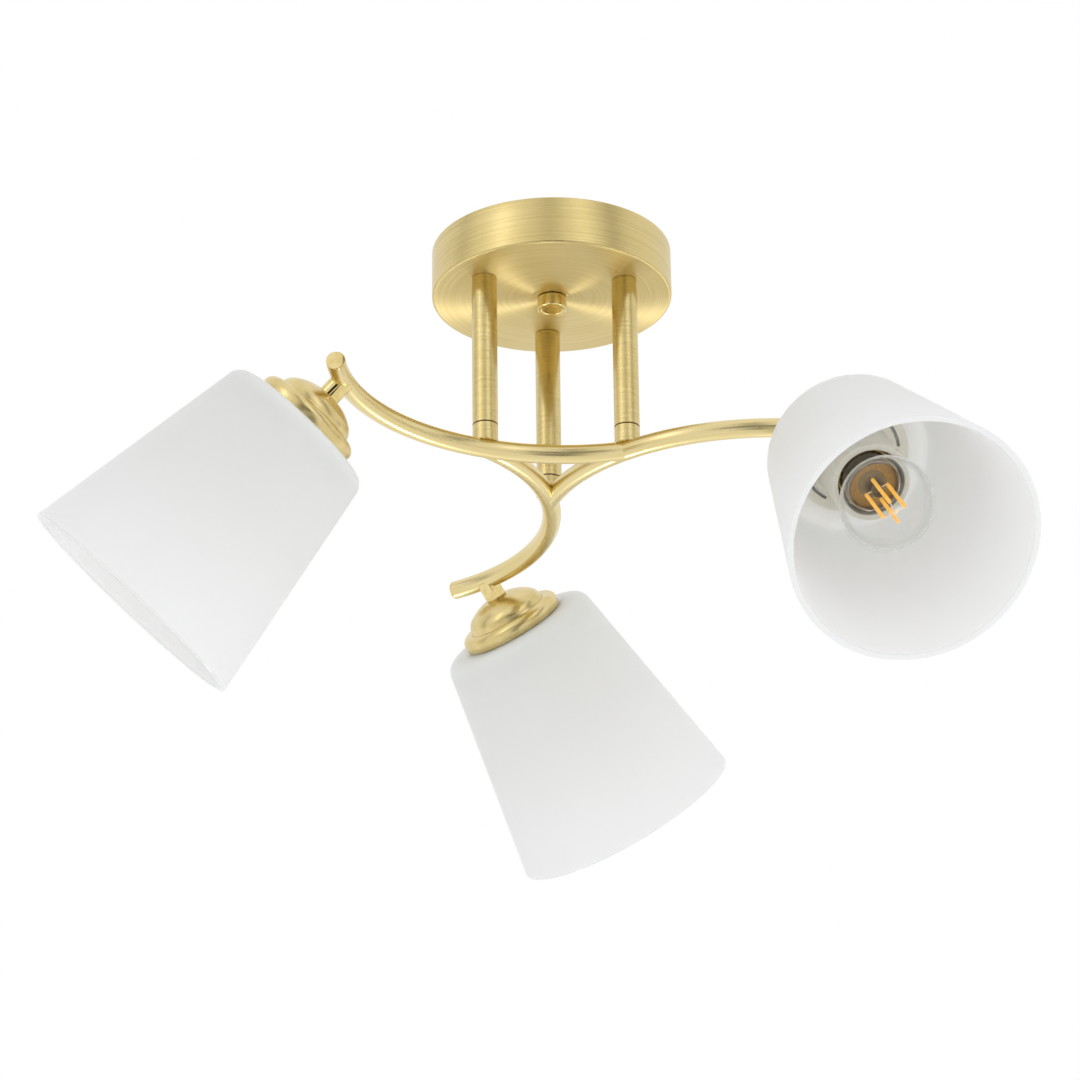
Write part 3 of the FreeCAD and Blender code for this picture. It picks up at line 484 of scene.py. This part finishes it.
for spot in SPOTS:
    outward = on_arm(spot, ARM_END) @ Matrix.Rotation(radians(-90), 4, "X")
    finished(f"Arm_end_{spot}", spun(
        Profile(0, -PLUG_LENGTH).line(PLUG_RADIUS, -PLUG_LENGTH, 0.3).line(PLUG_RADIUS, 0)
        .line(ARM_RADIUS, 0, 0.15).line(ARM_RADIUS, PLUG_HEAD, 0.45).line(0, PLUG_HEAD), 64),
        polished, [f"arm_end_cap_{spot}"], place=outward)


# ---------------------------------------------------------------- stubs and cups
# A polished stub stands square on each arm at 45 degrees and carries the spun cup: a small flat top, a
# swelling shoulder, a step and a rounded flange that meets the shade.

HEAD_ANGLE, TILT = -47, 45
STUB_RADIUS, STUB_LENGTH = 5.5, 11
CUP_BORE, CUP_SKIN = 4.1, 0.9
CROWN, SHOULDER, STEP, LEDGE, FLANGE, LIP = 8.5, 17, 20.7, 21.1, 27.3, 26.9
SHOULDER_AT, STEP_AT, LEDGE_AT, FLANGE_AT, LIP_AT = 14.9, 20.8, 21.7, 25.6, 29.2
CROWN_BEND, SHOULDER_BEND = 25.3, 7.8


def in_head(spot):
    """The place of a head: +Z runs from the arm's centre line out through the shade."""
    return on_arm(spot, HEAD_ANGLE) @ Matrix.Rotation(radians(180 - TILT), 4, "Y")


def cup_profile():
    """The outside from the bore to the lip, and back a skin's thickness inside it."""
    run, drop = FLANGE - LEDGE, FLANGE_AT - LEDGE_AT
    brim = (run ** 2 + drop ** 2) / (2 * run)
    inner = (run ** 2 + (drop - CUP_SKIN) ** 2) / (2 * run)
    return (Profile(CUP_BORE, STUB_LENGTH).line(CROWN, STUB_LENGTH, 0.3)
            .arc(SHOULDER, SHOULDER_AT, CROWN_BEND).arc(STEP, STEP_AT, SHOULDER_BEND)
            .line(LEDGE, LEDGE_AT).arc(FLANGE, FLANGE_AT, brim)
            .line(LIP, LIP_AT, 0.3).line(LIP - CUP_SKIN, LIP_AT, 0.3).line(FLANGE - CUP_SKIN, FLANGE_AT)
            .arc(LEDGE - CUP_SKIN, LEDGE_AT + CUP_SKIN, inner, -1).line(STEP - CUP_SKIN, STEP_AT)
            .arc(SHOULDER - 0.6 * CUP_SKIN, SHOULDER_AT + 0.8 * CUP_SKIN, SHOULDER_BEND - CUP_SKIN, -1)
            .arc(CROWN, STUB_LENGTH + CUP_SKIN, CROWN_BEND - CUP_SKIN, -1)
            .line(CUP_BORE, STUB_LENGTH + CUP_SKIN))


def spun_cup(point):
    """Softer than the canopy: the buffed skin keeps only faint rings."""
    x, y, z = point.split()
    rings = point.noise(point.vector(0.0, 0.0, z * 2.2 + (x * x + y * y) * 0.02), 1.6, 4.0)
    cloud = point.noise(point, 0.12, 2.0)
    tone = rings * 0.5 + cloud * 0.5
    return {"Base_Color": tone.ramped((0.35, (0.62, 0.485, 0.195)), (0.65, (0.79, 0.65, 0.33))),
            "Roughness": tone.between(0.32, 0.25)}


buffed = surface("Spun brass", spun_cup, Metallic=1.0)
for spot in SPOTS:
    finished(f"Stub_{spot}", spun(
        Profile(0, 0).line(STUB_RADIUS, 0).line(STUB_RADIUS, STUB_LENGTH, 0.3).line(0, STUB_LENGTH), 64),
        polished, [f"head_stub_{spot}"], place=in_head(spot))
    finished(f"Cup_{spot}", spun(cup_profile()), buffed, [f"shade_cup_{spot}"],
             place=in_head(spot))


# ---------------------------------------------------------------- lampholders and shade rings
# Ivory mouldings: the lampholder's skirt goes through the shade, and the slotted ring clamps the shade on
# it. The brass shell in its bore is shown as it is built.

def ivory(point):
    flow = point.noise(point, 0.3, 3.0)
    return {"Base_Color": flow.ramped((0.3, (0.87, 0.845, 0.73)), (0.7, (0.93, 0.91, 0.81))),
            "Roughness": flow.between(0.28, 0.4)}


moulded = surface("Ivory moulding", ivory, Coat_Weight=0.3, Coat_Roughness=0.2)
ring_surface = surface("Ivory ring", ivory, own=False, Coat_Weight=0.3, Coat_Roughness=0.2)
HOLDER_START, HOLDER_MOUTH, HOLDER_FLOOR = 15.1, 72.1, 45.1
NECK_RADIUS, NECK_END, SKIRT_RADIUS, SKIRT_START = 16.5, 30.7, 19.3, 33.5
BULB_BORE, CONTACT_BORE, NIPPLE_BORE, HOLDER_WALL = 16.2, 2.6, 4, 3
for spot in SPOTS:
    finished(f"Lampholder_{spot}", spun(
        Profile(NIPPLE_BORE, HOLDER_START).line(NECK_RADIUS, HOLDER_START, 3)
        .line(NECK_RADIUS, NECK_END, 0.5).line(SKIRT_RADIUS, SKIRT_START, 0.5)
        .line(SKIRT_RADIUS, HOLDER_MOUTH, 1).line(BULB_BORE, HOLDER_MOUTH, 0.6)
        .line(BULB_BORE, HOLDER_FLOOR, 0.5).line(CONTACT_BORE, HOLDER_FLOOR)
        .line(CONTACT_BORE, HOLDER_START + HOLDER_WALL).line(NIPPLE_BORE, HOLDER_START + HOLDER_WALL), 96),
        moulded, [f"lampholder_{spot}"], place=in_head(spot))
paint(ring_surface, "ring_plastic", *(f"shade_ring_{spot}" for spot in SPOTS))


# ---------------------------------------------------------------- shades
# Opal glass, 3 mm thick: a flat top with the lampholder's hole, a rounded shoulder and a straight flare to
# an open mouth. Its etched outside is a little greyer and greener near the top, the glass's tint together
# with painted shade by the cup, and is painted darker towards the mouth as painted shade. The inside is
# painted whiter as painted light, and the rim is polished and painted a darker grey.

SHADE_TOP, SHADE_MOUTH, WALL = 29.4, 146.7, 3
TOP_RADIUS, MOUTH_RADIUS, HOLE_RADIUS, BEND_RADIUS, RIM_ROUND = 40.4, 60.4, 20.6, 7, 1.1
FLARE = MOUTH_RADIUS - TOP_RADIUS
SLOPE = FLARE / (SHADE_MOUTH - SHADE_TOP)


def shade_profile():
    lean = atan(SLOPE)
    fall = BEND_RADIUS * (1 - sin(lean))
    tangent = TOP_RADIUS + fall * SLOPE
    flat = tangent - BEND_RADIUS * cos(lean)
    inner_mouth = MOUTH_RADIUS - WALL / cos(lean)
    return (Profile(HOLE_RADIUS, SHADE_TOP).line(flat, SHADE_TOP)
            .arc(tangent, SHADE_TOP + fall, BEND_RADIUS)
            .line(MOUTH_RADIUS, SHADE_MOUTH, RIM_ROUND).line(inner_mouth, SHADE_MOUTH, RIM_ROUND)
            .line(tangent - WALL * cos(lean), SHADE_TOP + fall + WALL * sin(lean))
            .arc(flat, SHADE_TOP + WALL, BEND_RADIUS - WALL, -1).line(HOLE_RADIUS, SHADE_TOP + WALL))


def opal(point):
    """Etched outside with painted shade at top and mouth, painted light inside, and a polished grey rim."""
    z = point.split()[2]
    down = (z - SHADE_TOP) / (SHADE_MOUTH - SHADE_TOP)
    tone = down + point.noise(point, 0.03, 2.0) * 0.12 - 0.06
    rim = z > SHADE_MOUTH - 1.0
    middle_of_wall = down * FLARE + TOP_RADIUS - WALL / 2
    # inside picks the inner wall, which is painted whiter as painted light.
    inside = (middle_of_wall > point.off_axis()) * (z > SHADE_TOP + WALL - 0.1)
    # The outside ramp is greyer and greener at the top (tint and painted shade by the cup) and darker at
    # the mouth as painted shade.
    outside_painted_shade = tone.ramped((0.0, (0.87, 0.91, 0.88)), (0.14, (0.95, 0.965, 0.955)), (1.0, (0.85, 0.86, 0.87)))
    inner = tone.ramped((0.0, (0.975, 0.985, 0.97)), (1.0, (0.985, 0.985, 0.985)))
    return {"Base_Color": rim.blend(inside.blend(outside_painted_shade, inner), (0.76, 0.77, 0.78, 1)),
            "Roughness": point.noise(point, 0.5, 2.0).between(0.5, 0.62) - rim * 0.3}


glass = surface("Opal glass", opal, Subsurface_Weight=0.7, Subsurface_Radius=(1.0, 1.0, 1.0),
                Subsurface_Scale=0.03, Specular_IOR_Level=0.3)
for spot in SPOTS:
    finished(f"Shade_{spot}", spun(shade_profile(), 192), glass, [f"glass_shade_{spot}"],
             place=in_head(spot))


# ---------------------------------------------------------------- bulbs
# A clear golf ball bulb in each head: a pressed cap with a rounded thread, a thin globe cemented into it,
# the glass stem, and four sticks with an amber coat, tied by wires to a small hub at the tip. The sticks
# are given a faint glow as painted light, though the bulb is off.

GLOBE, MIDDLE, NECK, NECK_MOUTH, GLASS_SKIN = 22.5, 99, 12.75, 77.5, 0.7
CAP_RIM, CAP_END, CREST, THREAD_DEPTH, CAP_SKIN, LEAD = 75.6, 51.6, 13.25, 0.9, 0.4, 3.63
BUTTON_RADIUS, BUTTON_END, BUTTON_TOP = 4.8, 47.8, 49.4
CEMENT_LOW, CEMENT_HIGH, CEMENT_RADIUS = 71.2, 72.9, 11.8
STEM_RADIUS, STEM_TIP, FLARE_RADIUS = 2.6, 86, 11.9
STICK_CIRCLE, STICK_RADIUS, STICK_LOW, STICK_HIGH = 5.6, 0.95, 81.5, 110.5


def globe_profile():
    """Up the outside from the neck to the tip, and back down the inside."""
    join, fillet = radians(42), GLOBE * 0.35
    inner, mouth = GLOBE - GLASS_SKIN, NECK - GLASS_SKIN
    return (Profile(mouth, CAP_RIM - 3).line(NECK, CAP_RIM - 3).line(NECK, NECK_MOUTH)
            .arc(GLOBE * sin(join), MIDDLE - GLOBE * cos(join), fillet, -1, 8)
            .arc(GLOBE, MIDDLE, GLOBE, 1, 16).arc(0, MIDDLE + GLOBE, GLOBE, 1, 24)
            .line(0, MIDDLE + inner).arc(inner, MIDDLE, inner, -1, 24)
            .arc(inner * sin(join), MIDDLE - inner * cos(join), inner, -1, 16)
            .arc(mouth, NECK_MOUTH, fillet + GLASS_SKIN, 1, 8))


def cap_profile():
    """The plain lining, then the four rounded turns of the thread and the skirt outside."""
    root, skirt = CREST - THREAD_DEPTH, CAP_RIM - 6
    line = (Profile(CREST - CAP_SKIN, CAP_RIM).line(CREST - CAP_SKIN, skirt + 1.5)
            .line(root - CAP_SKIN, skirt + 0.5).line(root - CAP_SKIN, CAP_END).line(root, CAP_END, 0.2))
    for turn in range(4):
        low = skirt - (4 - turn) * LEAD
        line.line(root, low, 0.4).line(CREST, low + 1.8, 1.0).line(root, low + 3.2, 0.4)
    return line.line(root, skirt + 0.5, 0.4).line(CREST, skirt + 1.5, 0.5).line(CREST, CAP_RIM, 0.15)


def sticks(start, size):
    """The filaments: upright sticks round the axis, each with wires in to the stem and to the hub."""
    def bar(radius, low, high):
        rod = start.make("GeometryNodeMeshCylinder", {}, 16, 1, 1, radius, high - low)
        middle = start.vector(0.0, 0.0, (high + low) * 0.5)
        return rod.make("GeometryNodeTransform", {}, rod, Translation=middle)

    def spoke(level, inner):
        rod = start.make("GeometryNodeMeshCylinder", {}, 8, 1, 1, size["Wire"], size["Circle"] - inner)
        middle = start.vector((inner - size["Circle"]) * 0.5, 0.0, level)
        return rod.make("GeometryNodeTransform", {}, rod, Translation=middle, Rotation=(0, pi / 2, 0))

    low, high = size["Start"], size["End"]
    whole = start.make("GeometryNodeJoinGeometry", {})
    joins = whole.socket.node
    for part in (bar(size["Stick"], low, high), bar(size["Wire"] * 1.4, low - 1.3, low + 0.7),
                 bar(size["Wire"] * 1.4, high - 0.3, high + 1.7), spoke(high + 1.2, size["Hub"] * 0.5),
                 spoke(low - 0.8, size["Stem"])):
        start.tree.links.new(part.socket, joins.inputs[0])
    ring = start.make("GeometryNodeMeshCircle", {}, size["Count"], size["Circle"])
    turn = start.make("GeometryNodeInputIndex", {}) * 2 * pi / size["Count"]
    turned = start.vector(0, 0, turn)
    stood = ring.make("GeometryNodeInstanceOnPoints", {}, ring, None, whole, Rotation=turned)
    stood = stood.make("GeometryNodeRealizeInstances", {}, stood)
    both = start.make("GeometryNodeJoinGeometry", {})
    for part in (stood, bar(size["Hub"], high + 0.6, high + 2.2)):
        start.tree.links.new(part.socket, both.socket.node.inputs[0])
    return both.make("GeometryNodeTransform", {}, both, Rotation=start.vector(0.0, 0.0, size["Turn"]))


def clear(point):
    dust = point.noise(point, 0.8, 2.0)
    return {"Roughness": dust.between(0.0, 0.03),
            "Base_Color": dust.ramped((0.3, (0.96, 0.97, 0.96)), (0.7, (1.0, 1.0, 1.0)))}


def smoky(point):
    """The stem is clear at its flare and dark at the pinch, where the wires are sealed in."""
    away = point.off_axis() + point.noise(point, 0.9, 2.0)
    return {"Base_Color": (away / 12).ramped((0.3, (0.30, 0.31, 0.33)), (0.55, (0.95, 0.96, 0.95)))}


def nickel(point):
    """Bright outside; the inside wears the brown cement that holds the globe."""
    z = point.split()[2]
    lining = (z > CAP_RIM - 5) * 0.8 + 12.1
    inside = lining > point.off_axis()
    scuff = point.noise(point, 0.9, 4.0)
    bright = scuff.ramped((0.3, (0.58, 0.56, 0.52)), (0.7, (0.76, 0.74, 0.70)))
    brown = scuff.ramped((0.3, (0.50, 0.33, 0.15)), (0.7, (0.68, 0.48, 0.26)))
    return {"Base_Color": inside.blend(bright, brown), "Metallic": 1 - inside,
            "Roughness": scuff.between(0.16, 0.3) + inside * 0.3}


def cement(point):
    grain = point.noise(point, 1.4, 4.0)
    return {"Base_Color": grain.ramped((0.3, (0.55, 0.25, 0.02)), (0.7, (0.85, 0.47, 0.08))),
            "Roughness": grain.between(0.3, 0.5)}


def insulator(point):
    """Black glass round the button, which is the bright end of the bulb."""
    z = point.split()[2]
    button = BUTTON_TOP - z > 0
    scuff = point.noise(point, 1.0, 3.0)
    tone = button * 0.8 + scuff * 0.2
    return {"Base_Color": tone.ramped((0.1, (0.02, 0.02, 0.025)), (0.9, (0.7, 0.69, 0.66))),
            "Metallic": button, "Roughness": scuff.between(0.12, 0.3)}


def amber(point):
    """Coated sticks, and grey wires and hub where the point is off a stick."""
    z = point.split()[2]
    stick = (z > STICK_LOW - 0.1) * (1 - (z > STICK_HIGH + 0.1)) * (point.off_axis() > STICK_CIRCLE - 1.2)
    grain = point.noise(point, 1.2, 3.0)
    coat = grain.ramped((0.3, (0.86, 0.42, 0.03)), (0.7, (0.98, 0.62, 0.10)))
    wire = grain.ramped((0.3, (0.32, 0.33, 0.30)), (0.7, (0.52, 0.53, 0.50)))
    return {"Base_Color": stick.blend(wire, coat), "Metallic": 1 - stick,
            "Roughness": stick * 0.2 + grain * 0.1 + 0.35}


clear_glass = surface("Clear glass", clear, Transmission_Weight=1.0, IOR=1.3)
stem_glass = surface("Stem glass", smoky, Transmission_Weight=1.0, IOR=1.1, Roughness=0.04)
cap_metal = surface("Bulb cap", nickel)
button_metal = surface("Bulb button", insulator)
brown = surface("Cement", cement)
# The filaments' emission is painted light: a faint amber glow, though the bulb is off.
glowing_coat = surface("Filaments", amber, Emission_Color=(1.0, 0.5, 0.08, 1.0), Emission_Strength=0.5)
for spot in SPOTS:
    body, head = f"bulb_{spot}", in_head(spot)
    finished(f"Cap_{spot}", spun(cap_profile(), 96), cap_metal, [f"bulb_cap_{spot}"],
             body, head)
    finished(f"Button_{spot}", spun(
        Profile(0, BUTTON_END).line(BUTTON_RADIUS, BUTTON_END, 0.5).line(BUTTON_RADIUS, BUTTON_TOP, 0.3)
        .line(11.35, CAP_END).line(11.9, CAP_END + 1).line(0, CAP_END + 1), 64),
        button_metal, [f"bulb_button_{spot}"], f"button_{spot}", head)
    finished(f"Cement_{spot}", spun(
        Profile(3.2, CEMENT_LOW).line(CEMENT_RADIUS, CEMENT_LOW)
        .line(CEMENT_RADIUS + 0.2, CEMENT_HIGH - 0.5, 0.4).line(3.2, CEMENT_HIGH, 0.3), 64),
        brown, [], body, head)
    finished(f"Pinch_{spot}", spun(
        Profile(0, 72.5).line(7.2, 72.5).line(6, 73.6, 0.5).line(3.2, 76.6, 1.5).line(2.2, 79.5, 0.5)
        .line(0, 79.5), 48), cap_metal, [], body, head)
    finished(f"Globe_{spot}", spun(globe_profile(), 96), clear_glass, [f"bulb_globe_{spot}"],
             body, head)
    finished(f"Stem_{spot}", spun(
        Profile(0, CAP_RIM - 2).line(FLARE_RADIUS, CAP_RIM - 2).line(FLARE_RADIUS, CAP_RIM - 1.2)
        .arc(STEM_RADIUS, CAP_RIM + 3, FLARE_RADIUS, -1).line(STEM_RADIUS, STEM_TIP, 1)
        .line(0, STEM_TIP), 64),
        stem_glass, [f"bulb_stem_{spot}"], body, head)
    finished(f"Filament_{spot}", grown("Filament sticks", sticks, glowing_coat, {
        "Count": 4, "Circle": STICK_CIRCLE, "Start": STICK_LOW, "End": STICK_HIGH, "Turn": radians(35),
        "Stick": STICK_RADIUS, "Wire": 0.25, "Hub": 1.3, "Stem": 2.7}),
        glowing_coat, [f"bulb_filament_{spot}"], body, head)


# ---------------------------------------------------------------- stage
# The light hangs in an even white room, seen from below through a long lens. Soft lamps give the brass its
# highlights and the canopy its fan of light, and dark cards in front and on each side, which only
# reflections show, give the metal something darker.

world = bpy.data.worlds.new("Room")
bpy.context.scene.world = world
world.use_nodes = True
tree = world.node_tree
start = Wire(tree, None)
ray = tree.nodes.new("ShaderNodeLightPath").outputs
seen = Wire(tree, ray["Is Camera Ray"])
seen = seen.maths("MAXIMUM", seen, Wire(tree, ray["Is Glossy Ray"]))
seen = seen.maths("MAXIMUM", seen, Wire(tree, ray["Is Transmission Ray"]))
tree.links.new(seen.between(0.9, 1.0).socket, tree.nodes["Background"].inputs["Strength"])
tree.nodes["Background"].inputs["Color"].default_value = (1, 1, 1, 1)


def aimed(name, data, place):
    """Sets a lamp or a card at place, facing the light's middle."""
    holder = bpy.data.objects.new(name, data)
    place = Vector(place)
    turned_to = (Vector((0, 0, -0.12)) - place).to_track_quat("-Z", "Y")
    holder.matrix_world = Matrix.Translation(place) @ turned_to.to_matrix().to_4x4()
    bpy.context.scene.collection.objects.link(holder)
    return holder


def lamp(name, place, width, height, power, glossy=True, diffuse=True):
    """A soft lamp. Without glossy it lights the shades only, and without diffuse the metal only."""
    light = bpy.data.lights.new(name, "AREA")
    light.shape, light.size, light.size_y, light.energy = "RECTANGLE", width, height, power
    shown = aimed(name, light, place)
    shown.visible_glossy, shown.visible_diffuse = glossy, diffuse


def card(name, place, width, height, tone):
    """A dark card that only reflections show."""
    mesh = bpy.data.meshes.new(name)
    x, y = width / 2, height / 2
    mesh.from_pydata([(-x, -y, 0), (x, -y, 0), (x, y, 0), (-x, y, 0)], [], [(0, 1, 2, 3)])
    material = bpy.data.materials.new(name)
    material.use_nodes = True
    shader = material.node_tree.nodes["Principled BSDF"]
    shader.inputs["Base Color"].default_value = (tone, tone, tone, 1)
    shader.inputs["Roughness"].default_value = 0.9
    mesh.materials.append(material)
    shown = aimed(name, mesh, place)
    shown.visible_camera = shown.visible_diffuse = shown.visible_transmission = False


lamp("Key", (-2.3, -1.9, 0.9), 0.6, 2.0, 5, diffuse=False)
lamp("Edge", (1.3, -2.7, 1.1), 0.4, 2.0, 2.5, diffuse=False)
lamp("Fill", (0.5, -1.4, -1.3), 0.6, 0.6, 5, glossy=False)
lamp("Fan_left", (-0.295, 0.61, -1.11), 0.15, 0.15, 1.6, diffuse=False)
lamp("Fan_right", (0.44, 0.61, -1.06), 0.15, 0.15, 1.6, diffuse=False)
card("Card_front", (-0.12, -1.5, 0.62), 0.22, 1.2, 0.02)
card("Card_level", (-0.1, -2.2, -0.25), 1.6, 0.7, 0.02)
card("Card_camera", (0.15, -2.55, -1.75), 1.1, 1.5, 0.02)
card("Card_left", (-1.5, 0.1, 0.3), 0.18, 1.6, 0.03)
card("Card_right", (1.3, -0.9, 0.5), 0.3, 1.6, 0.05)

camera = bpy.data.objects.new("Camera", bpy.data.cameras.new("Camera"))
right = Vector((0.9984550013172168, -0.0544890909902619, -0.010888035070285441))
up = Vector((-0.01275600437390504, -0.4154796102510242, 0.9095130443364019))
camera.matrix_world = Matrix.Translation((-0.13286, -2.10596, -1.12194)) @ Matrix(
    (right, up, right.cross(up))).transposed().to_4x4()
camera.data.lens, camera.data.sensor_width = 158.02, 36
camera.data.clip_end = 20
bpy.context.scene.collection.objects.link(camera)
bpy.context.scene.camera = camera
bpy.context.scene.view_settings.view_transform = "Standard"
